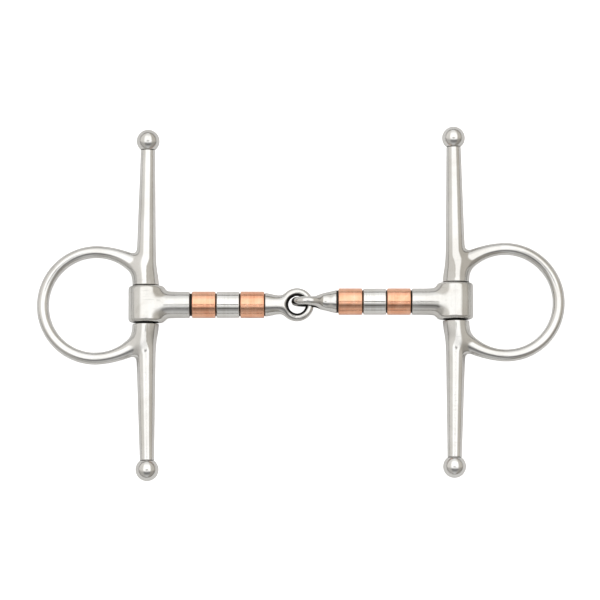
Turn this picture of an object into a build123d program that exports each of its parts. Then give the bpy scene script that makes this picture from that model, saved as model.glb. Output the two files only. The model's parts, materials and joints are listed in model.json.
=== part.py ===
from build123d import *
from math import asin, cos, degrees, radians, sin
import os

# A full-cheek snaffle bit lying flat: the mouthpiece runs along X, the cheek arms along Y,
# and +Z points up from the surface it lies on. side is -1 for the left half, +1 for the right.
# A distance called "out" is measured along X from the middle of the mouthpiece.

# Driving dimensions, millimetres
pivot_out = 72.6  # middle of the mouthpiece to a cheek's pivot axis
side_play = 0.75  # the loose centre joint lets each half lie this far off centre
barrel_half_width = 8.55
barrel_half_depth = 7.9  # as thick as the eyes are wide, so the bit lies on its barrels and on one eye

cheek_length = 166.2  # over both knobs
knob_radius = 5.45
arm_tip_radius = 3.4
arm_root_radius = 6.3
arm_lean = 0.73  # degrees, the thin ends lean in towards the mouth
arm_shift = 0.48  # where the arm's axis would cross the mouthpiece, outward of the pivot
slot_height = 18.2  # room between the two arms
spigot_radius = 1.8
spigot_length = 5.0

ring_offset = 24.1  # pivot axis to ring centre
ring_inner_radius = 22.3
ring_outer_radius = 28.1
ring_half_depth = 3.0
ring_plain_angle = 100.0  # the ring is plain this far round, each way from its far side
# The ring widens into the arms like a horn: angle, outer radius, half depth
ring_roots = ((115.0, 28.8, 3.1), (130.0, 30.5, 3.6), (148.0, 32.0, 4.3))

pin_radius = 3.0
pin_clearance = 0.05
pin_seat = 6.0  # depth of the pin's blind socket in each arm

barrel_height = 17.2
barrel_rise = 0.25  # how far up its slot the barrel sits
barrel_edge = 1.6
collar_radius = 6.25
collar_edge = 0.3
collar_out = 52.3  # end of the cannon, where the rollers begin
# The neck swells into the barrel: distance short of the pivot axis, radius
neck_swell = ((12.0, 6.25), (10.0, 6.5), (8.4, 7.05), (6.9, 7.6), (5.3, 7.75), (2.0, 7.4))

spindle_radius = 3.5  # of the ends, inside their sockets
journal_radius = 5.3  # thicker length between them, under the rollers
cannon_seat = 8.0  # depth of the spindle's socket in the cannon
link_seat = 4.0  # and in the eye link

roller_clearance = 0.07
roller_edge = 0.45
roller_spans = {"outer": (40.1, 51.2), "middle": (28.9, 39.6), "inner": (17.2, 28.4)}
roller_radii = {"outer": 6.3, "middle": 6.2, "inner": 6.3}  # copper, steel, copper
roller_slide = {-1: 0.0, 1: 0.5}  # the right half's rollers have slid a little out along their spindle

link_out = 16.8  # the link's end face, against the inner roller
link_end_radius = 5.6
eye_radius = 5.95  # to the middle of the eye's round wire
eye_wire_radius = 1.95
eye_out = {-1: 1.83, 1: 3.4}  # centre of each half's eye
# The link's neck thins towards the eye: distance from the eye's centre, half width, half thickness
link_neck = ((10.3, 4.8, 4.75), (8.0, 4.6, 4.2), (5.6, 5.15, 3.65), (3.3, 6.6, 3.1), (0.9, 7.4, 2.4))
eye_throat_angle = 35.0  # how far round the wire the eye's rounded throat goes

# Worked out from them
axis_z = barrel_half_depth
knob_out = cheek_length / 2 - knob_radius
seam_out = knob_out - (knob_radius**2 - arm_tip_radius**2) ** 0.5
ring_plain = (ring_plain_angle, ring_outer_radius, ring_half_depth)
ring_far = ring_offset + (ring_outer_radius + ring_inner_radius) / 2
ring_droop = degrees(asin((axis_z - ring_half_depth) / ring_far))  # the rings hang until they touch down
side_names = {-1: "left", 1: "right"}


def half_axis(side, out):
    """A point on the mouthpiece axis of one half."""
    return Vector(side * out, side * side_play, axis_z)


def across_pivot(side, height):
    """Plane square to a pivot axis, this high above the mouthpiece axis."""
    return Plane(half_axis(side, pivot_out) + Vector(0, height, 0), x_dir=(1, 0, 0), z_dir=(0, 1, 0))


def across_mouthpiece(side, out):
    """Plane square to the mouthpiece, facing away from the middle."""
    return Plane(half_axis(side, out), x_dir=(0, 1, 0), z_dir=(side, 0, 0))


def arm_plane(side, end):
    """Plane whose y axis runs out along an arm, end +1 for the upper arm and -1 for the lower."""
    lean = radians(arm_lean)
    along = Vector(-side * sin(lean), end * cos(lean), 0)
    return Plane(half_axis(side, pivot_out + arm_shift), x_dir=along.cross(Vector(0, 0, 1)), z_dir=(0, 0, 1))


def ring_plane(side, angle, outer_radius):
    """Plane across the ring's wire, centred in it, angle in degrees round from its far side."""
    towards = Vector(side * cos(radians(angle)), sin(radians(angle)), 0)
    centre = half_axis(side, pivot_out + ring_offset) + towards * (outer_radius + ring_inner_radius) / 2
    return Plane(centre, x_dir=towards, z_dir=towards.cross(Vector(0, 0, 1)))


def build_cheek(side):
    """Ring and both arms, one casting, with a slot for the barrel and sockets for the pin."""
    with BuildPart() as cheek:
        for end in (1, -1):
            plane = arm_plane(side, end)
            root = (arm_root_radius, slot_height / 2 - 1)
            tip = (arm_tip_radius, seam_out)
            spigot_end = seam_out + spigot_length
            with BuildSketch(plane):
                with BuildLine():
                    Spline(root, (4.95, 18.3), (4.5, 26), tip, tangents=((-0.1, 1), (-0.022, 1)))
                    Polyline(tip, (spigot_radius, seam_out), (spigot_radius, spigot_end), (0, spigot_end))
                    Polyline((0, spigot_end), (0, root[1]), root)
                make_face()
            revolve(axis=Axis(plane.origin, plane.y_dir))
            for angle, outer_radius, half_depth in (ring_plain,) + ring_roots:
                with BuildSketch(ring_plane(side, end * angle, outer_radius)):
                    Ellipse((outer_radius - ring_inner_radius) / 2, half_depth)
            loft()
        with BuildSketch(ring_plane(side, -ring_plain_angle, ring_outer_radius)):
            Ellipse((ring_outer_radius - ring_inner_radius) / 2, ring_half_depth)
        ring_axis = Axis(half_axis(side, pivot_out + ring_offset), (0, 0, side))
        revolve(axis=ring_axis, revolution_arc=2 * ring_plain_angle)
        with BuildSketch(across_pivot(side, -slot_height / 2)):
            Rectangle(3 * barrel_half_width, 3 * barrel_half_width)
        extrude(amount=slot_height, mode=Mode.SUBTRACT)
        with BuildSketch(across_pivot(side, -slot_height / 2 - pin_seat)):
            Circle(pin_radius)
        extrude(amount=slot_height + 2 * pin_seat, mode=Mode.SUBTRACT)
    return cheek.part


def build_knob(side, end):
    """Ball on an arm's spigot, cut flat where it meets the arm."""
    plane = arm_plane(side, end)
    spigot_end = seam_out + spigot_length
    with BuildPart() as knob:
        with BuildSketch(plane):
            with BuildLine():
                top = (0, knob_out + knob_radius)
                ThreePointArc(top, (knob_radius, knob_out), (arm_tip_radius, seam_out))
                Polyline((arm_tip_radius, seam_out), (spigot_radius, seam_out), (spigot_radius, spigot_end))
                Polyline((spigot_radius, spigot_end), (0, spigot_end), top)
            make_face()
        revolve(axis=Axis(plane.origin, plane.y_dir))
    return knob.part


def build_pin(side):
    """Pivot pin, pressed into both arms, on which the barrel turns."""
    length = slot_height + 2 * pin_seat
    with BuildPart() as pin:
        with BuildSketch(across_pivot(side, -length / 2)):
            Circle(pin_radius)
        extrude(amount=length)
    return pin.part


def build_cannon(side):
    """Barrel round the pivot pin, with the neck and collar that carry the spindle."""
    with BuildPart() as cannon:
        with BuildSketch(across_pivot(side, barrel_rise - barrel_height / 2)):
            Ellipse(barrel_half_width, barrel_half_depth)
        extrude(amount=barrel_height)
        fillet(cannon.edges().filter_by(GeomType.ELLIPSE), barrel_edge)
        neck_plane = Plane(half_axis(side, 0), x_dir=(side, 0, 0), z_dir=(0, 0, 1))
        swell = [(pivot_out - short, radius) for short, radius in neck_swell]
        with BuildSketch(neck_plane):
            with BuildLine():
                Polyline((swell[-1][0], 0), (collar_out, 0), (collar_out, collar_radius - collar_edge),
                         (collar_out + collar_edge, collar_radius), swell[0])
                Spline(swell, tangents=((1, 0), (1, -0.1)))
                Line(swell[-1], (swell[-1][0], 0))
            make_face()
        revolve(axis=Axis(neck_plane.origin, neck_plane.x_dir))
        with BuildSketch(across_pivot(side, -barrel_height)):
            Circle(pin_radius + pin_clearance)
        extrude(amount=2 * barrel_height, mode=Mode.SUBTRACT)
        with BuildSketch(across_mouthpiece(side, collar_out)):
            Circle(spindle_radius)
        extrude(amount=cannon_seat, mode=Mode.SUBTRACT)
    return cannon.part


def build_spindle(side):
    """Rod fixed in the cannon and in the eye link, with a thicker journal under the rollers."""
    start = link_out - link_seat
    with BuildPart() as spindle:
        with BuildSketch(across_mouthpiece(side, start)):
            Circle(spindle_radius)
        extrude(amount=collar_out + cannon_seat - start)
        with BuildSketch(across_mouthpiece(side, link_out)):
            Circle(journal_radius)
        extrude(amount=collar_out - link_out)
    return spindle.part


def build_roller(side, place):
    """Loose sleeve on the journal, with broken edges."""
    start, stop = [out + roller_slide[side] for out in roller_spans[place]]
    with BuildPart() as roller:
        with BuildSketch(across_mouthpiece(side, start)):
            Circle(roller_radii[place])
            Circle(journal_radius + roller_clearance, mode=Mode.SUBTRACT)
        extrude(amount=stop - start)
        rims = roller.edges().filter_by(GeomType.CIRCLE).group_by(SortBy.RADIUS)[-1]
        fillet(rims, roller_edge)
    return roller.part


def build_eye_link(side):
    """Eye and neck of the centre joint. The left eye lies flat, the right one stands on edge."""
    eye = half_axis(side, eye_out[side])
    # the neck's plane has its x axis across the eye's opening, and eye_axis runs through it
    if side < 0:
        across, eye_axis = Vector(0, 1, 0), Vector(0, 0, 1)
    else:
        across, eye_axis = Vector(0, 0, 1), Vector(0, 1, 0)
    outward = Vector(side, 0, 0)
    with BuildPart() as link:
        stations = ((link_out - eye_out[side], link_end_radius, link_end_radius),) + link_neck
        for distance, half_width, half_thickness in stations:
            with BuildSketch(Plane(eye + outward * distance, x_dir=across, z_dir=outward)):
                Ellipse(half_width, half_thickness)
        loft()
        # throat of the eye, rounded like the wire where it goes through the neck
        turn = radians(eye_throat_angle)
        eye_plane = Plane(eye, x_dir=outward, z_dir=outward.cross(eye_axis))
        with BuildSketch(eye_plane):
            with BuildLine():
                inner = eye_radius - eye_wire_radius
                rim = (eye_radius - eye_wire_radius * cos(turn), eye_wire_radius * sin(turn))
                flare = 3 * eye_wire_radius
                mouth = (rim[0] + flare * sin(turn), rim[1] + flare * cos(turn))
                ThreePointArc((rim[0], -rim[1]), (inner, 0), rim)
                Polyline(rim, mouth, (0, mouth[1]), (0, -mouth[1]), (mouth[0], -mouth[1]), (rim[0], -rim[1]))
            make_face()
        revolve(axis=Axis(eye, eye_axis), mode=Mode.SUBTRACT)
        with BuildSketch(eye_plane):
            with Locations((eye_radius, 0)):
                Circle(eye_wire_radius)
        revolve(axis=Axis(eye, eye_axis))
        with BuildSketch(across_mouthpiece(side, link_out - link_seat)):
            Circle(spindle_radius)
        extrude(amount=link_seat, mode=Mode.SUBTRACT)
    return link.part


def lying(part, side):
    """A piece of the cheek, swung down about the pivot until the ring's far side lies on the surface."""
    return part.rotate(Axis(half_axis(side, pivot_out), (0, side, 0)), ring_droop)


def save(part, name):
    part.label = name
    export_step(part, f"parts/{name}.step")


os.makedirs("parts", exist_ok=True)
for side, name in side_names.items():
    save(lying(build_cheek(side), side), f"{name}_cheek")
    save(lying(build_knob(side, 1), side), f"{name}_upper_knob")
    save(lying(build_knob(side, -1), side), f"{name}_lower_knob")
    save(lying(build_pin(side), side), f"{name}_pivot_pin")
    save(build_cannon(side), f"{name}_cannon")
    save(build_spindle(side), f"{name}_spindle")
    for place, metal in (("outer", "copper"), ("middle", "steel"), ("inner", "copper")):
        save(build_roller(side, place), f"{name}_{place}_{metal}_roller")
    save(build_eye_link(side), f"{name}_eye_link")
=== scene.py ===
import json
import math
from itertools import product

import bpy
import numpy as np
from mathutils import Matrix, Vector


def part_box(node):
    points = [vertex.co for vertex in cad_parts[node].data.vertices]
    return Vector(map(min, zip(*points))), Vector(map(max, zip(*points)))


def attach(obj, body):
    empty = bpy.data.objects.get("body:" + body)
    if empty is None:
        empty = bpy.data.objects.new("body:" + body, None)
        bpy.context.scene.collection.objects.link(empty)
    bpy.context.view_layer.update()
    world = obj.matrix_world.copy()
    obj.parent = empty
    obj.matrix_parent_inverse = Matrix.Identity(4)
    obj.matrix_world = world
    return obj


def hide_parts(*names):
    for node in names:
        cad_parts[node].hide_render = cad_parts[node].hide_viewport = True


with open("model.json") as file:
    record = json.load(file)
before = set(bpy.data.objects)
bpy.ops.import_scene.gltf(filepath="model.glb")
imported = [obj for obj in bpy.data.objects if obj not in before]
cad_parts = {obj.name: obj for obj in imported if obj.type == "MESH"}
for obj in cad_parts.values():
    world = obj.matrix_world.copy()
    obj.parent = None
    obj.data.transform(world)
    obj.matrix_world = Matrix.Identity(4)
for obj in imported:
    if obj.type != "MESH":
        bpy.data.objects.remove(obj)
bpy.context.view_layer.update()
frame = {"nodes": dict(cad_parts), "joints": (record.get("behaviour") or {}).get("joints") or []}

mm = 0.001
joints = {joint["name"]: joint for joint in frame["joints"]}
sides = {"left": -1, "right": 1}
pivots = {name: np.array(joints[name + "_cheek_swivel"]["pos_m"]) / mm for name in sides}
print("frame loaded, pivots at", pivots)


# blends, cuts and curves for the distance fields, all in millimetres
def softUnion(a, b, reach):
    share = np.clip(0.5 + 0.5 * (b - a) / reach, 0, 1)
    return b + (a - b) * share - reach * share * (1 - share)


def roundedCut(a, b, radius):  # what is inside both a and b, with the edge rounded over
    outside = np.hypot(np.maximum(radius + a, 0), np.maximum(radius + b, 0))
    return np.minimum(np.maximum(a, b), -radius) + outside


def bored(body, hole):
    return np.maximum(body, -hole)


def ellipseField(x, y, halfX, halfY):
    size = np.hypot(x / halfX, y / halfY)
    slope = np.hypot(x / halfX ** 2, y / halfY ** 2)
    flattest = 0.02 / halfX  # the slope falls to nothing in the middle
    return size * (size - 1) / np.maximum(slope, flattest)


def eased(value, start, stop):  # rises from 0 to 1 with no corner at either end
    share = np.clip((value - start) / (stop - start), 0, 1)
    return share * share * (3 - 2 * share)


def fieldSlope(field, points, nudge=0.01):
    slope = np.empty_like(points)
    for axis in range(3):
        step = np.zeros(3)
        step[axis] = nudge
        slope[:, axis] = (field(*(points + step).T) - field(*(points - step).T)) / (2 * nudge)
    return slope


def settle(field, points, rounds=3, flattest=0.05):  # moves points along the slope onto the surface
    for _ in range(rounds):
        slope = fieldSlope(field, points)
        length = np.maximum((slope ** 2).sum(axis=1), flattest)
        points = points - slope * (field(*points.T) / length)[:, None]
    return points


def netFaces(inside, index):  # one quad round each grid edge that crosses the surface
    quads = []
    for axis in range(3):
        order = [axis, (axis + 1) % 3, (axis + 2) % 3]
        solid, cells = inside.transpose(order), index.transpose(order)
        near, far = solid[:-1, 1:-1, 1:-1], solid[1:, 1:-1, 1:-1]
        ring = np.stack([cells[:, :-1, :-1], cells[:, 1:, :-1],
                         cells[:, 1:, 1:], cells[:, :-1, 1:]], axis=-1)
        quads.append(ring[near & ~far])
        quads.append(ring[~near & far][:, ::-1])
    return np.concatenate(quads)


def evenOut(points, quads):  # each point moves half way to the middle of its neighbours
    starts, ends = quads.ravel(), np.roll(quads, -1, axis=1).ravel()
    count = np.bincount(starts, minlength=len(points)) + np.bincount(ends, minlength=len(points))
    total = np.empty_like(points)
    for axis in range(3):
        total[:, axis] = np.bincount(starts, points[ends, axis], len(points))
        total[:, axis] += np.bincount(ends, points[starts, axis], len(points))
    return 0.5 * points + 0.5 * total / count[:, None]


def addPiece(name, points, faces, normals, material, slot, node, body):
    mesh = bpy.data.meshes.new(name)
    mesh.from_pydata(points * mm, [], faces)
    mesh.shade_smooth()
    mesh.normals_split_custom_set_from_vertices(normals)
    mesh.materials.append(material)
    piece = bpy.data.objects.new(name, mesh)
    bpy.context.scene.collection.objects.link(piece)
    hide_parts(node)
    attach(piece, body)
    print("made", name, len(points), "points")
    return piece


def castPiece(field, box, step, rounds=6):  # points, faces and normals of the surface where the field is zero
    margin = 2 * step
    low, high = np.array(box[0]) / mm - margin, np.array(box[1]) / mm + margin
    axes = [np.arange(start, stop, step) for start, stop in zip(low, high)]
    inside = field(*np.meshgrid(*axes, indexing="ij")) < 0
    corners = sum(inside[i:i - 1 or None, j:j - 1 or None, k:k - 1 or None].astype(np.int8)
                  for i, j, k in product((0, 1), repeat=3))
    crossed = (corners > 0) & (corners < 8)
    index = np.full(crossed.shape, -1)
    index[crossed] = np.arange(crossed.sum())
    points = low + (np.argwhere(crossed) + 0.5) * step
    quads = netFaces(inside, index)
    points = settle(field, points)
    for _ in range(rounds):
        points = settle(field, evenOut(points, quads), 2)
    points = settle(field, points)
    slope = fieldSlope(field, points)
    return points, quads.tolist(), slope / np.linalg.norm(slope, axis=1)[:, None]


def turnedSleeve(centre, side, start, stop, bore, outer, edge, segments=112, bend=6):
    profile = []  # a closed section with rounded corners: along, radius, and which way it faces
    for corner, (along, radius, inset) in enumerate(((stop, outer, -edge), (start, outer, -edge),
                                                     (start, bore, edge), (stop, bore, edge))):
        inward = -edge if along == stop else edge
        for share in range(bend + 1):
            turn = (corner + share / bend) * math.pi / 2
            faces = (math.cos(turn), math.sin(turn))
            profile.append((along + inward + edge * faces[0], radius + inset + edge * faces[1], *faces))
    profile = np.array(profile)
    angles = np.arange(segments) * 2 * math.pi / segments
    wheel = np.stack([np.zeros(segments), np.cos(angles), np.sin(angles)], axis=1)
    axis = np.array((side, 0.0, 0.0))
    points = centre + profile[:, None, 0:1] * axis + profile[:, None, 1:2] * wheel
    normals = profile[:, None, 2:3] * axis + profile[:, None, 3:4] * wheel
    index = np.arange(len(profile) * segments).reshape(len(profile), segments)
    beside, ahead = np.roll(index, -1, axis=1), np.roll(index, -1, axis=0)
    quads = np.stack([index, ahead, np.roll(ahead, -1, axis=1), beside], axis=-1).reshape(-1, 4)
    return points.reshape(-1, 3), quads[:, ::side].tolist(), normals.reshape(-1, 3)


# what the materials share
def nodeKit(tree):
    def node(kind, **values):
        made = tree.nodes.new(kind)
        for name, value in values.items():
            setattr(made, name, value)
        return made

    def wire(source, target):
        tree.links.new(source, target)

    return node, wire


def newGroup(name, inputs, outputs):
    tree = bpy.data.node_groups.new(name, "ShaderNodeTree")
    for socket, value in inputs.items():
        made = tree.interface.new_socket(socket, in_out="INPUT", socket_type="NodeSocketFloat")
        made.default_value = value
    for socket in outputs:
        tree.interface.new_socket(socket, in_out="OUTPUT", socket_type="NodeSocketFloat")
    return tree, tree.nodes.new("NodeGroupInput"), tree.nodes.new("NodeGroupOutput")


def buildHandPolish():  # soft waves left by the buffing wheel, and slow patches of tone
    scales = {"waveScale": 170.0, "patchScale": 60.0}
    tree, given, result = newGroup("handPolish", scales, ["height", "patches"])
    node, wire = nodeKit(tree)
    place = node("ShaderNodeTexCoord")
    wave = node("ShaderNodeTexNoise")
    wave.inputs["Detail"].default_value = 1.0
    patch = node("ShaderNodeTexNoise")
    patch.inputs["Detail"].default_value = 3.0
    patch.inputs["Distortion"].default_value = 0.6
    for noise, scale in ((wave, "waveScale"), (patch, "patchScale")):
        wire(place.outputs["Object"], noise.inputs["Vector"])
        wire(given.outputs[scale], noise.inputs["Scale"])
    wire(wave.outputs["Fac"], result.inputs["height"])
    wire(patch.outputs["Fac"], result.inputs["patches"])
    return tree


def buildFineScratches():  # short hairlines that cross each other
    tree, given, result = newGroup("fineScratches", {"scale": 900.0, "amount": 0.3}, ["mask"])
    node, wire = nodeKit(tree)
    place = node("ShaderNodeTexCoord")
    masks = []
    thinnest, fullest = 0.66, 0.74  # only the crests of the noise make a line
    for turn, seed in ((0.5, 0.0), (-0.9, 0.013), (1.8, 0.027)):  # three directions
        mapping = node("ShaderNodeMapping")
        mapping.inputs["Rotation"].default_value = (turn, turn * 0.6, turn * 1.7)
        mapping.inputs["Location"].default_value = (seed, seed, seed)
        mapping.inputs["Scale"].default_value = (0.04, 1.0, 1.0)
        noise = node("ShaderNodeTexNoise")
        noise.inputs["Detail"].default_value = 2.0
        ramp = node("ShaderNodeMapRange")
        ramp.inputs["From Min"].default_value = thinnest
        ramp.inputs["From Max"].default_value = fullest
        wire(place.outputs["Object"], mapping.inputs["Vector"])
        wire(mapping.outputs["Vector"], noise.inputs["Vector"])
        wire(given.outputs["scale"], noise.inputs["Scale"])
        wire(noise.outputs["Fac"], ramp.inputs["Value"])
        masks.append(ramp.outputs["Result"])
    both = node("ShaderNodeMath", operation="MAXIMUM")
    every = node("ShaderNodeMath", operation="MAXIMUM")
    scaled = node("ShaderNodeMath", operation="MULTIPLY")
    wire(masks[0], both.inputs[0])
    wire(masks[1], both.inputs[1])
    wire(both.outputs[0], every.inputs[0])
    wire(masks[2], every.inputs[1])
    wire(every.outputs[0], scaled.inputs[0])
    wire(given.outputs["amount"], scaled.inputs[1])
    wire(scaled.outputs[0], result.inputs["mask"])
    return tree


def buildTurningMarks():  # faint rings round a part that was turned on a lathe along x
    tree, given, result = newGroup("turningMarks", {"scale": 1500.0}, ["bands"])
    node, wire = nodeKit(tree)
    place = node("ShaderNodeTexCoord")
    mapping = node("ShaderNodeMapping")
    mapping.inputs["Scale"].default_value = (1.0, 0.02, 0.02)
    noise = node("ShaderNodeTexNoise")
    noise.inputs["Detail"].default_value = 3.0
    wire(place.outputs["Object"], mapping.inputs["Vector"])
    wire(mapping.outputs["Vector"], noise.inputs["Vector"])
    wire(given.outputs["scale"], noise.inputs["Scale"])
    wire(noise.outputs["Fac"], result.inputs["bands"])
    return tree


def buildPaintedSeamShade():  # painted shade: darkens the joints and hollows where little of the room is seen
    tree, given, result = newGroup("paintedSeamShade", {"reach": 0.002, "amount": 1.0}, ["mask"])
    node, wire = nodeKit(tree)
    hollow = node("ShaderNodeAmbientOcclusion", samples=8)
    ramp = node("ShaderNodeMapRange", interpolation_type="SMOOTHSTEP")
    cleanAbove, darkBelow = 0.62, 0.25  # how much of the room a point can see
    ramp.inputs["From Min"].default_value = cleanAbove
    ramp.inputs["From Max"].default_value = darkBelow
    scaled = node("ShaderNodeMath", operation="MULTIPLY")
    wire(given.outputs["reach"], hollow.inputs["Distance"])
    wire(hollow.outputs["AO"], ramp.inputs["Value"])
    wire(ramp.outputs["Result"], scaled.inputs[0])
    wire(given.outputs["amount"], scaled.inputs[1])
    wire(scaled.outputs[0], result.inputs["mask"])
    return tree


handPolish, fineScratches = buildHandPolish(), buildFineScratches()
turningMarks, paintedSeamShade = buildTurningMarks(), buildPaintedSeamShade()

finish = {
    # the gloss of the painted shade, where the surface is no longer metal
    "paintedShadeGloss": 0.15, "coatIndex": 1.8, "coatRough": 0.12,
    "scratchRough": 0.25, "paintedShadeRough": 0.3,  # added to a metal's own roughness
    "patchLow": 0.3, "patchHigh": 0.7,  # the noise seldom leaves this span
}


def metalMaterial(name, look):
    material = bpy.data.materials.new(name)
    material.use_nodes = True
    node, wire = nodeKit(material.node_tree)
    shader = material.node_tree.nodes["Principled BSDF"]
    shader.inputs["Specular IOR Level"].default_value = finish["paintedShadeGloss"]
    shader.inputs["Coat Weight"].default_value = look.get("coat", 0.0)
    shader.inputs["Coat IOR"].default_value = finish["coatIndex"]
    shader.inputs["Coat Roughness"].default_value = finish["coatRough"]

    def group(tree, values):
        made = node("ShaderNodeGroup", node_tree=tree)
        for socket, value in values.items():
            made.inputs[socket].default_value = value
        return made

    polish = group(handPolish, look["polish"])
    scratches = group(fineScratches, look["scratches"])
    turned = group(turningMarks, look["turned"])
    # colour: slow patches between the tones, then the turned bands and hairlines over them
    tone = node("ShaderNodeValToRGB")
    while len(tone.color_ramp.elements) < len(look["tones"]):
        tone.color_ramp.elements.new(0.5)
    for element, (place, colour) in zip(tone.color_ramp.elements, look["tones"]):
        element.position = place
        element.color = (*colour, 1.0)
    blend = node("ShaderNodeMix", data_type="FLOAT")
    blend.inputs["Factor"].default_value = look["turnedShare"]
    wire(polish.outputs["patches"], blend.inputs["A"])
    wire(turned.outputs["bands"], blend.inputs["B"])
    wire(blend.outputs["Result"], tone.inputs["Fac"])
    scratched = node("ShaderNodeMix", data_type="RGBA")
    scratched.inputs["B"].default_value = (*look["scratchColour"], 1.0)
    wire(scratches.outputs["mask"], scratched.inputs["Factor"])
    wire(tone.outputs["Color"], scratched.inputs["A"])
    # painted shade: near black, not metal, in the seams, and wherever a piece is marked for painted shade
    # inside
    shadePaint = group(paintedSeamShade, look["shadePaint"])
    inside = node("ShaderNodeAttribute", attribute_name="shadeInside")
    paintedShade = node("ShaderNodeMath", operation="MAXIMUM")
    shadePainted = node("ShaderNodeMix", data_type="RGBA")
    shadePainted.inputs["B"].default_value = (*look["shadePaintColour"], 1.0)
    wire(shadePaint.outputs["mask"], paintedShade.inputs[0])
    wire(inside.outputs["Fac"], paintedShade.inputs[1])
    wire(paintedShade.outputs[0], shadePainted.inputs["Factor"])
    wire(scratched.outputs["Result"], shadePainted.inputs["A"])
    wire(shadePainted.outputs["Result"], shader.inputs["Base Color"])
    # the surface is not metal where the shade is painted
    bare = node("ShaderNodeMath", operation="SUBTRACT")
    bare.inputs[0].default_value = 1.0
    wire(paintedShade.outputs[0], bare.inputs[1])
    wire(bare.outputs[0], shader.inputs["Metallic"])
    # roughness: patches, hairlines and the painted shade
    rough = node("ShaderNodeMapRange")
    span = (finish["patchLow"], finish["patchHigh"], *look["roughness"])
    for socket, value in zip(("From Min", "From Max", "To Min", "To Max"), span):
        rough.inputs[socket].default_value = value
    rougher = node("ShaderNodeMath", operation="MULTIPLY_ADD", use_clamp=True)
    rougher.inputs[1].default_value = finish["scratchRough"]
    wire(blend.outputs["Result"], rough.inputs["Value"])
    wire(scratches.outputs["mask"], rougher.inputs[0])
    wire(rough.outputs["Result"], rougher.inputs[2])
    dulled = node("ShaderNodeMath", operation="MULTIPLY_ADD", use_clamp=True)
    dulled.inputs[1].default_value = finish["paintedShadeRough"]
    wire(paintedShade.outputs[0], dulled.inputs[0])
    wire(rougher.outputs[0], dulled.inputs[2])
    wire(dulled.outputs[0], shader.inputs["Roughness"])
    # relief: waves of the buffing wheel, then the turned rings
    waves = node("ShaderNodeBump")
    waves.inputs["Strength"].default_value = 1.0
    waves.inputs["Distance"].default_value = look["waveDepth"]
    rings = node("ShaderNodeBump")
    rings.inputs["Strength"].default_value = 1.0
    rings.inputs["Distance"].default_value = look["ringDepth"]
    wire(polish.outputs["height"], waves.inputs["Height"])
    wire(turned.outputs["bands"], rings.inputs["Height"])
    wire(waves.outputs["Normal"], rings.inputs["Normal"])
    wire(rings.outputs["Normal"], shader.inputs["Normal"])
    return material


# each metal below carries a near-black colour for the painted shade in its seams
polishedSteel = metalMaterial("polishedSteel", {
    "tones": [(0.3, (0.64, 0.625, 0.595)), (0.5, (0.70, 0.69, 0.665)), (0.7, (0.76, 0.75, 0.73))],
    "polish": {"waveScale": 150.0, "patchScale": 60.0}, "scratches": {"scale": 700.0, "amount": 0.2},
    "turned": {"scale": 1200.0}, "turnedShare": 0.1, "scratchColour": (0.55, 0.54, 0.52),
    "shadePaint": {"reach": 0.002, "amount": 1.0}, "shadePaintColour": (0.013, 0.012, 0.011),
    "roughness": (0.12, 0.2), "waveDepth": 0.00007, "ringDepth": 0.0000005})
satinSteel = metalMaterial("satinSteel", {
    "tones": [(0.3, (0.63, 0.61, 0.575)), (0.5, (0.69, 0.68, 0.65)), (0.7, (0.75, 0.74, 0.72))],
    "polish": {"waveScale": 140.0, "patchScale": 90.0}, "scratches": {"scale": 700.0, "amount": 0.3},
    "turned": {"scale": 1200.0}, "turnedShare": 0.2, "scratchColour": (0.5, 0.49, 0.46),
    "shadePaint": {"reach": 0.002, "amount": 1.0}, "shadePaintColour": (0.013, 0.012, 0.011),
    "roughness": (0.17, 0.25), "waveDepth": 0.00009, "ringDepth": 0.0000008})
turnedSteel = metalMaterial("turnedSteel", {
    "tones": [(0.3, (0.66, 0.64, 0.60)), (0.5, (0.74, 0.73, 0.70)), (0.7, (0.80, 0.79, 0.77))],
    "polish": {"waveScale": 200.0, "patchScale": 90.0}, "scratches": {"scale": 900.0, "amount": 0.25},
    "turned": {"scale": 1500.0}, "turnedShare": 0.5, "scratchColour": (0.5, 0.49, 0.46),
    "shadePaint": {"reach": 0.0015, "amount": 1.0}, "shadePaintColour": (0.013, 0.012, 0.011),
    "roughness": (0.08, 0.13), "waveDepth": 0.00004, "ringDepth": 0.0000012})
copper = metalMaterial("copper", {
    "tones": [(0.32, (0.80, 0.33, 0.17)), (0.5, (0.92, 0.46, 0.27)), (0.7, (0.96, 0.56, 0.37))],
    "polish": {"waveScale": 240.0, "patchScale": 150.0}, "scratches": {"scale": 900.0, "amount": 0.45},
    "turned": {"scale": 900.0}, "turnedShare": 0.3, "scratchColour": (0.40, 0.14, 0.07),
    "shadePaint": {"reach": 0.0015, "amount": 1.0}, "shadePaintColour": (0.03, 0.018, 0.012),
    "roughness": (0.17, 0.29), "waveDepth": 0.00008, "ringDepth": 0.0000015, "coat": 0.7})
# painted shade: near-black steel for the pins and spindles, standing for the shade in the gaps
gapShadeSteel = metalMaterial("gapShadeSteel", {
    "tones": [(0.3, (0.022, 0.021, 0.019)), (0.5, (0.035, 0.033, 0.03)), (0.7, (0.055, 0.052, 0.048))],
    "polish": {"waveScale": 300.0, "patchScale": 200.0}, "scratches": {"scale": 900.0, "amount": 0.3},
    "turned": {"scale": 1500.0}, "turnedShare": 0.5, "scratchColour": (0.09, 0.085, 0.08),
    "shadePaint": {"reach": 0.0015, "amount": 1.0}, "shadePaintColour": (0.02, 0.018, 0.015),
    "roughness": (0.4, 0.55), "waveDepth": 0.00003, "ringDepth": 0.0000015})
print("materials ready")

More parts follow.
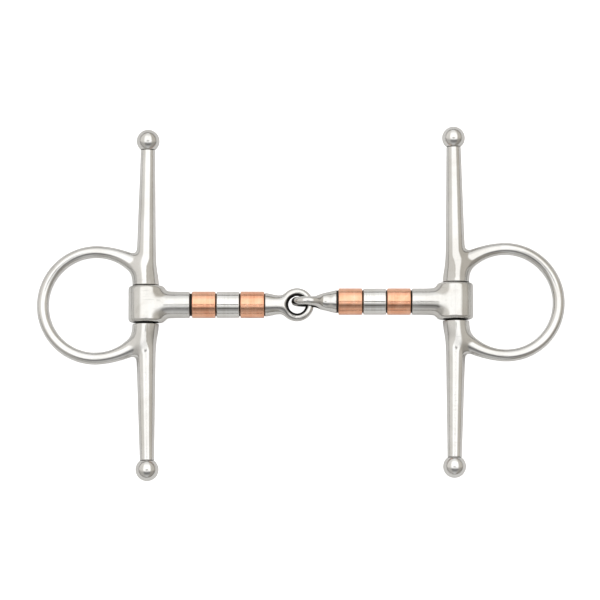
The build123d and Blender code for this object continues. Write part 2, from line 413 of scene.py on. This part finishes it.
cheek = {
    "armLean": math.radians(0.73), "armShift": 0.48, "armTip": 3.4, "armTaper": 0.0232,
    "rootSwell": 1.5, "rootAt": 14.8, "rootReach": 2.4,  # an arm swells towards its root
    "slotHalf": 9.1, "slotTo": 16.0, "slotEdge": 0.4, "seamOut": 73.391, "seamEdge": 0.3,
    "spigot": 1.8, "spigotLength": 5.0, "spigotRoot": 3.0, "pin": 3.0, "pinSeat": 6.0,
    "ringOffset": 24.1, "ringInner": 22.3, "ringOuter": 28.1, "ringHalf": 3.0, "ringStart": 1.0,
    "hornOuter": 2.4, "hornHalf": 0.6, "crotch": 3.6,  # the ring thickens where it meets the arms
    "hornFrom": 95.0, "hornRun": 35.0,  # degrees round the ring from its far side
    "step": 0.4,
}
# the cheeks are swung down about the pivots until the rings touch the ground
ringFar = cheek["ringOffset"] + (cheek["ringOuter"] + cheek["ringInner"]) / 2
droop = math.asin((pivots["left"][2] - cheek["ringHalf"]) / ringFar)


def cheekPlace(side, pivot, x, y, z):  # outward, up the arm and off the ring's face, all from the pivot
    out, rise = side * (x - pivot[0]), z - pivot[2]
    u = out * math.cos(droop) - rise * math.sin(droop)
    w = out * math.sin(droop) + rise * math.cos(droop)
    return u, y - pivot[1], w


def armPlace(u, v):  # along an arm and across it
    lean, aside = cheek["armLean"], u - cheek["armShift"]
    along = np.abs(v) * math.cos(lean) - aside * math.sin(lean)
    return along, aside * math.cos(lean) + np.abs(v) * math.sin(lean)


def spigotField(along, across, w):  # the short peg that holds a knob
    beyond = along - cheek["seamOut"]
    return np.maximum(np.hypot(across, w) - cheek["spigot"], beyond - cheek["spigotLength"])


def cheekField(side, pivot):
    def field(x, y, z):
        u, v, w = cheekPlace(side, pivot, x, y, z)
        along, across = armPlace(u, v)
        girth = cheek["armTip"] + cheek["armTaper"] * (cheek["seamOut"] - along)
        girth = girth + cheek["rootSwell"] / (1 + np.exp((along - cheek["rootAt"]) / cheek["rootReach"]))
        arm = roundedCut(np.hypot(across, w) - girth, along - cheek["seamOut"], cheek["seamEdge"])
        radial = np.hypot(u - cheek["ringOffset"], v)
        angle = np.degrees(np.arctan2(np.abs(v), u - cheek["ringOffset"]))
        horn = (np.clip(angle - cheek["hornFrom"], 0, None) / cheek["hornRun"]) ** 2
        inner, outer = cheek["ringInner"], cheek["ringOuter"] + cheek["hornOuter"] * horn
        half = cheek["ringHalf"] + cheek["hornHalf"] * horn
        wire = ellipseField(radial - (outer + inner) / 2, w, (outer - inner) / 2, half)
        wire = np.maximum(wire, cheek["ringStart"] - u)
        body = softUnion(arm, wire, cheek["crotch"])
        slot = np.where(u < cheek["slotTo"], cheek["slotHalf"] - np.abs(v), -cheek["slotHalf"])
        body = roundedCut(body, slot, cheek["slotEdge"])
        socket = np.maximum(np.hypot(u, w) - cheek["pin"], np.abs(v) - cheek["slotHalf"] - cheek["pinSeat"])
        spigot = np.maximum(spigotField(along, across, w), cheek["seamOut"] - cheek["spigotRoot"] - along)
        return np.minimum(bored(body, socket), spigot)
    return field


for name, side in sides.items():
    field = cheekField(side, pivots[name])
    addPiece(name + "_cheek_cast", *castPiece(field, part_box(name + "_cheek"), cheek["step"]),
             polishedSteel, "polished_steel", name + "_cheek", name + "_cheekpiece")

knob = {"radius": 5.45, "out": 77.65, "edge": 0.35, "step": 0.3}


def knobField(side, end, pivot):
    def field(x, y, z):
        u, v, w = cheekPlace(side, pivot, x, y, z)
        along, across = armPlace(u, end * np.maximum(end * v, 0))  # only this end's arm
        ball = np.sqrt((along - knob["out"]) ** 2 + across ** 2 + w ** 2) - knob["radius"]
        ball = roundedCut(ball, cheek["seamOut"] - along, knob["edge"])
        return bored(ball, spigotField(along, across, w))
    return field


for name, side in sides.items():
    for place, end in (("upper", 1), ("lower", -1)):
        node = name + "_" + place + "_knob"
        field = knobField(side, end, pivots[name])
        addPiece(node + "_turned", *castPiece(field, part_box(node), knob["step"]),
                 polishedSteel, "polished_steel", node, name + "_cheekpiece")

cannon = {
    "halfWidth": 8.55, "halfDepth": 7.9, "halfHeight": 8.6, "rise": 0.25, "edge": 1.6, "bore": 3.05,
    "neckFrom": 3.5, "swellWide": 1.3, "swellDeep": 0.5, "swellAt": 8.2, "swellReach": 1.2, "blend": 2.2,
    "collar": 6.25, "collarShort": 20.3, "collarEdge": 0.3, "socket": 3.5, "socketDepth": 8.0, "step": 0.3,
}


def cannonField(side, pivot):
    def field(x, y, z):
        short, v, w = side * (pivot[0] - x), y - pivot[1], z - pivot[2]
        barrel = ellipseField(short, w, cannon["halfWidth"], cannon["halfDepth"])
        barrel = roundedCut(barrel, np.abs(v - cannon["rise"]) - cannon["halfHeight"], cannon["edge"])
        swell = 1 / (1 + np.exp((short - cannon["swellAt"]) / cannon["swellReach"]))
        wide = cannon["collar"] + cannon["swellWide"] * swell
        deep = cannon["collar"] + cannon["swellDeep"] * swell
        size = np.hypot(v / wide, w / deep)
        neck = (size - 1) * np.minimum(wide, deep)
        neck = roundedCut(neck, short - cannon["collarShort"], cannon["collarEdge"])
        neck = np.maximum(neck, cannon["neckFrom"] - short)
        body = softUnion(barrel, neck, cannon["blend"])
        socketEnd = cannon["collarShort"] - cannon["socketDepth"] - short
        body = bored(body, np.maximum(np.hypot(v, w) - cannon["socket"], socketEnd))
        return bored(body, np.hypot(short, w) - cannon["bore"])
    return field


for name, side in sides.items():
    field = cannonField(side, pivots[name])
    addPiece(name + "_cannon_cast", *castPiece(field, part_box(name + "_cannon"), cannon["step"]),
             satinSteel, "polished_steel", name + "_cannon", name + "_mouthpiece")

eye = {
    "out": {"left": 1.83, "right": 3.4}, "faceOut": 16.8, "ring": 5.95, "wire": 1.95,
    "wireSwell": 0.25, "swellFrom": 2.2, "swellTo": 6.2,  # the wire thickens towards the neck
    "neckStart": 1.2, "neckWide": 4.5, "neckFlare": 1.05, "flareFrom": 8.0,
    "neckThin": 2.3, "neckGrow": 3.25, "growTo": 1.1,
    "neckSpread": 2.6, "spreadReach": 3.9,  # the neck spreads round the eye
    "blend": 1.2, "rim": 0.4, "throatCurve": 0.2, "endEdge": 0.3, "socket": 3.5, "socketDepth": 4.0,
    "shadeTo": 5.6, "shadeEdge": 0.5,  # painted shade: an eye's hole wall is painted near black within this far of its middle
    "step": 0.2,
}


def eyeField(name, side, pivot):
    end = eye["faceOut"] - eye["out"][name]

    def field(x, y, z):
        far, rise, high = side * x - eye["out"][name], y - pivot[1], z - pivot[2]
        across, through = (rise, high) if side < 0 else (high, rise)  # one eye lies flat, the other on edge
        radial = np.hypot(far, across)
        slim = through / (1 + eye["wireSwell"] * eased(far, eye["swellFrom"], eye["swellTo"]))
        wire = np.hypot(radial - eye["ring"], slim) - eye["wire"]
        wide = eye["neckWide"] + eye["neckFlare"] * eased(far, eye["flareFrom"], end)
        wide = wide + eye["neckSpread"] * np.exp(-(far / eye["spreadReach"]) ** 2)
        thick = eye["neckThin"] + eye["neckGrow"] * np.clip(far / end, 0, eye["growTo"])
        neck = np.maximum(ellipseField(across, through, wide, thick), eye["neckStart"] - far)
        body = softUnion(wire, neck, eye["blend"])
        throat = eye["ring"] - eye["wire"] + eye["throatCurve"] * slim ** 2 - radial
        body = roundedCut(body, throat, eye["rim"])
        body = roundedCut(body, far - end, eye["endEdge"])
        return bored(body, np.maximum(np.hypot(rise, high) - eye["socket"], end - eye["socketDepth"] - far))
    return field


for name, side in sides.items():
    field = eyeField(name, side, pivots[name])
    points, faces, normals = castPiece(field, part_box(name + "_eye_link"), eye["step"])
    link = addPiece(name + "_eye_link_forged", points, faces, normals,
                    polishedSteel, "polished_steel", name + "_eye_link", name + "_mouthpiece")
    # painted shade: the inner wall of the eye hole is marked to be painted near black
    far = side * points[:, 0] - eye["out"][name]
    across = (points - pivots[name])[:, 1 if side < 0 else 2]
    holeShade = np.clip((eye["shadeTo"] - np.hypot(far, across)) / eye["shadeEdge"], 0, 1)
    holeShadeMarks = link.data.attributes.new("shadeInside", "FLOAT", "POINT")
    holeShadeMarks.data.foreach_set("value", holeShade.astype(np.float32))

roller = {
    "spans": {"outer_copper": (40.1, 51.2), "middle_steel": (28.9, 39.6), "inner_copper": (17.2, 28.4)},
    "radius": {"outer_copper": 6.3, "middle_steel": 6.2, "inner_copper": 6.3}, "bore": 5.37, "edge": 0.45,
    "slide": {"left": 0.0, "right": 0.5},
}
for name, side in sides.items():
    for kind, (start, stop) in roller["spans"].items():
        node = name + "_" + kind + "_roller"
        centre = pivots[name] * (0, 1, 1)
        slide, radius = roller["slide"][name], roller["radius"][kind]
        ends = (start + slide, stop + slide)
        sleeve = turnedSleeve(centre, side, *ends, roller["bore"], radius, roller["edge"])
        metal, slot = (copper, "copper") if "copper" in kind else (turnedSteel, "polished_steel")
        place = kind.split("_")[0]
        addPiece(node + "_turned", *sleeve, metal, slot, node, name + "_" + place + "_roller")

# the pins and spindles keep their own shape, in a near-black steel that paints the shade seen in the gaps
for name in sides:
    for kind in ("pivot_pin", "spindle"):
        rod = frame["nodes"][name + "_" + kind]
        rod.data.materials.clear()
        rod.data.materials.append(gapShadeSteel)
print("pieces made")

# studio: a pale floor, a long soft panel overhead that runs to the back, and warm grey walls
studio = {
    "floorSize": 2.4, "floorColour": (0.86, 0.86, 0.86), "floorRough": 0.9, "floorLift": 0.85,
    "panelLeft": -36.0, "panelRight": 38.0, "soft": 4.5, "panelLight": 1.5,
    # how bright the panel is from front to back: degrees from straight up, share of its light
    "panelRun": ((-90, 0.46), (-68, 0.46), (-58, 0.28), (-46, 0.24), (-40, 0.1), (-35, 0.08), (-30, 0.3),
                 (-22, 0.46), (-15, 0.95), (-8, 1.0), (42, 1.0), (60, 0.72), (90, 0.6)),
    # a gap in the panel for the camera: how dark it is, then where it lies and how far it reaches in degrees
    "lensGap": 0.94, "lensLean": -5.75, "lensHalf": 4.8, "lensSoft": 2.0, "lensReach": 14.0, "reachSoft": 4.0,
    "leftWall": (0.90, 0.88, 0.85), "rightWall": (0.66, 0.63, 0.58), "wallBlend": 0.3,
    "frontShade": 0.6, "frontFrom": -40.0, "frontTo": -5.0,  # the front of the room is darker
    "horizonHeight": 0.17, "horizonSoft": 0.6, "horizonShade": 0.45, "horizonBack": 0.35,
    "seen": (1.0, 1.0, 1.0),
}
half = studio["floorSize"] / 2
floorMesh = bpy.data.meshes.new("floor")
floorCorners = [(-half, -half, 0), (half, -half, 0), (half, half, 0), (-half, half, 0)]
floorMesh.from_pydata(floorCorners, [], [(0, 1, 2, 3)])
floor = bpy.data.objects.new("floor", floorMesh)
bpy.context.scene.collection.objects.link(floor)


def paperMaterial():
    material = bpy.data.materials.new("paper")
    material.use_nodes = True
    node, wire = nodeKit(material.node_tree)
    shader = material.node_tree.nodes["Principled BSDF"]
    shader.inputs["Base Color"].default_value = (*studio["floorColour"], 1)
    shader.inputs["Roughness"].default_value = studio["floorRough"]
    shader.inputs["Specular IOR Level"].default_value = 0.0
    shader.inputs["Emission Color"].default_value = (1, 1, 1, 1)
    lift = node("ShaderNodeMath", operation="MULTIPLY")
    lift.inputs[1].default_value = studio["floorLift"]
    wire(node("ShaderNodeLightPath").outputs["Is Camera Ray"], lift.inputs[0])
    wire(lift.outputs[0], shader.inputs["Emission Strength"])
    return material


floorMesh.materials.append(paperMaterial())


def buildRoom():
    world = bpy.data.worlds.new("studioRoom")
    bpy.context.scene.world = world
    world.use_nodes = True
    node, wire = nodeKit(world.node_tree)

    def sums(operation, *values):
        made = node("ShaderNodeMath", operation=operation)
        for socket, value in zip(made.inputs, values):
            if isinstance(value, (int, float)):
                socket.default_value = value
            else:
                wire(value, socket)
        return made.outputs[0]

    def between(value, start, stop, low=0.0, high=1.0):
        ramp = node("ShaderNodeMapRange", interpolation_type="SMOOTHSTEP")
        for name, number in zip(("From Min", "From Max", "To Min", "To Max"), (start, stop, low, high)):
            ramp.inputs[name].default_value = number
        wire(value, ramp.inputs["Value"])
        return ramp.outputs["Result"]

    def mixed(share, first, second):
        made = node("ShaderNodeMix", data_type="RGBA")
        for socket, value in (("Factor", share), ("A", first), ("B", second)):
            if isinstance(value, tuple):
                made.inputs[socket].default_value = (*value, 1)
            else:
                wire(value, made.inputs[socket])
        return made.outputs["Result"]

    split = node("ShaderNodeSeparateXYZ")
    wire(node("ShaderNodeTexCoord").outputs["Generated"], split.inputs[0])
    aside, back, up = split.outputs
    turn = sums("MULTIPLY", sums("ARCTAN2", aside, up), 180 / math.pi)  # degrees to the right of straight up
    lean = sums("MULTIPLY", sums("ARCTAN2", back, up), 180 / math.pi)  # and to the back
    soft = studio["soft"]
    panel = sums("MULTIPLY", between(turn, studio["panelLeft"] - soft, studio["panelLeft"] + soft),
                 between(turn, studio["panelRight"] + soft, studio["panelRight"] - soft))
    run = node("ShaderNodeValToRGB")
    while len(run.color_ramp.elements) < len(studio["panelRun"]):
        run.color_ramp.elements.new(0.5)
    for element, (degrees, share) in zip(run.color_ramp.elements, studio["panelRun"]):
        element.position = (degrees + 90) / 180
        element.color = (studio["panelLight"] * share,) * 3 + (1,)
    wire(sums("ADD", sums("DIVIDE", lean, 180.0), 0.5), run.inputs["Fac"])
    lensOff = sums("ABSOLUTE", sums("SUBTRACT", lean, studio["lensLean"]))
    half, reach = studio["lensHalf"], studio["lensReach"]
    gap = between(lensOff, half, half - studio["lensSoft"], 0.0, studio["lensGap"])
    gap = sums("MULTIPLY", gap, between(sums("ABSOLUTE", turn), reach, reach - studio["reachSoft"]))
    lit = node("ShaderNodeVectorMath", operation="SCALE")
    wire(run.outputs["Color"], lit.inputs[0])
    wire(sums("SUBTRACT", 1.0, gap), lit.inputs["Scale"])
    rightward = between(aside, -studio["wallBlend"], studio["wallBlend"])
    walls = mixed(rightward, studio["leftWall"], studio["rightWall"])
    shaded = node("ShaderNodeVectorMath", operation="SCALE")
    wire(walls, shaded.inputs[0])
    front = between(lean, studio["frontFrom"], studio["frontTo"], studio["frontShade"], 1.0)
    wire(front, shaded.inputs["Scale"])
    room = mixed(panel, shaded.outputs[0], lit.outputs[0])
    horizon = between(up, studio["horizonHeight"], studio["horizonHeight"] * studio["horizonSoft"])
    deep = sums("MULTIPLY_ADD", sums("MAXIMUM", back, 0.0), studio["horizonBack"], studio["horizonShade"])
    dim = node("ShaderNodeVectorMath", operation="SCALE")
    wire(room, dim.inputs[0])
    wire(sums("SUBTRACT", 1.0, sums("MULTIPLY", horizon, deep)), dim.inputs["Scale"])
    seen = mixed(node("ShaderNodeLightPath").outputs["Is Camera Ray"], dim.outputs[0], studio["seen"])
    wire(seen, world.node_tree.nodes["Background"].inputs["Color"])


buildRoom()
print("studio lit")

shot = {"elevation": 84.5, "distance": 1.9608, "lens": 250.0, "sensor": 36.0, "aim": (-0.00038, 0.0015, 0.0)}
aim = Vector(shot["aim"]) + Vector((0, 0, pivots["left"][2] * mm))
tilt = math.radians(shot["elevation"])
cameraData = bpy.data.cameras.new("camera")
cameraData.lens, cameraData.sensor_width = shot["lens"], shot["sensor"]
camera = bpy.data.objects.new("camera", cameraData)
bpy.context.scene.collection.objects.link(camera)
camera.location = aim + shot["distance"] * Vector((0, -math.cos(tilt), math.sin(tilt)))
camera.rotation_euler = (aim - camera.location).to_track_quat("-Z", "Y").to_euler()
bpy.context.scene.camera = camera
bpy.context.scene.view_settings.view_transform = "Standard"
print("camera placed")
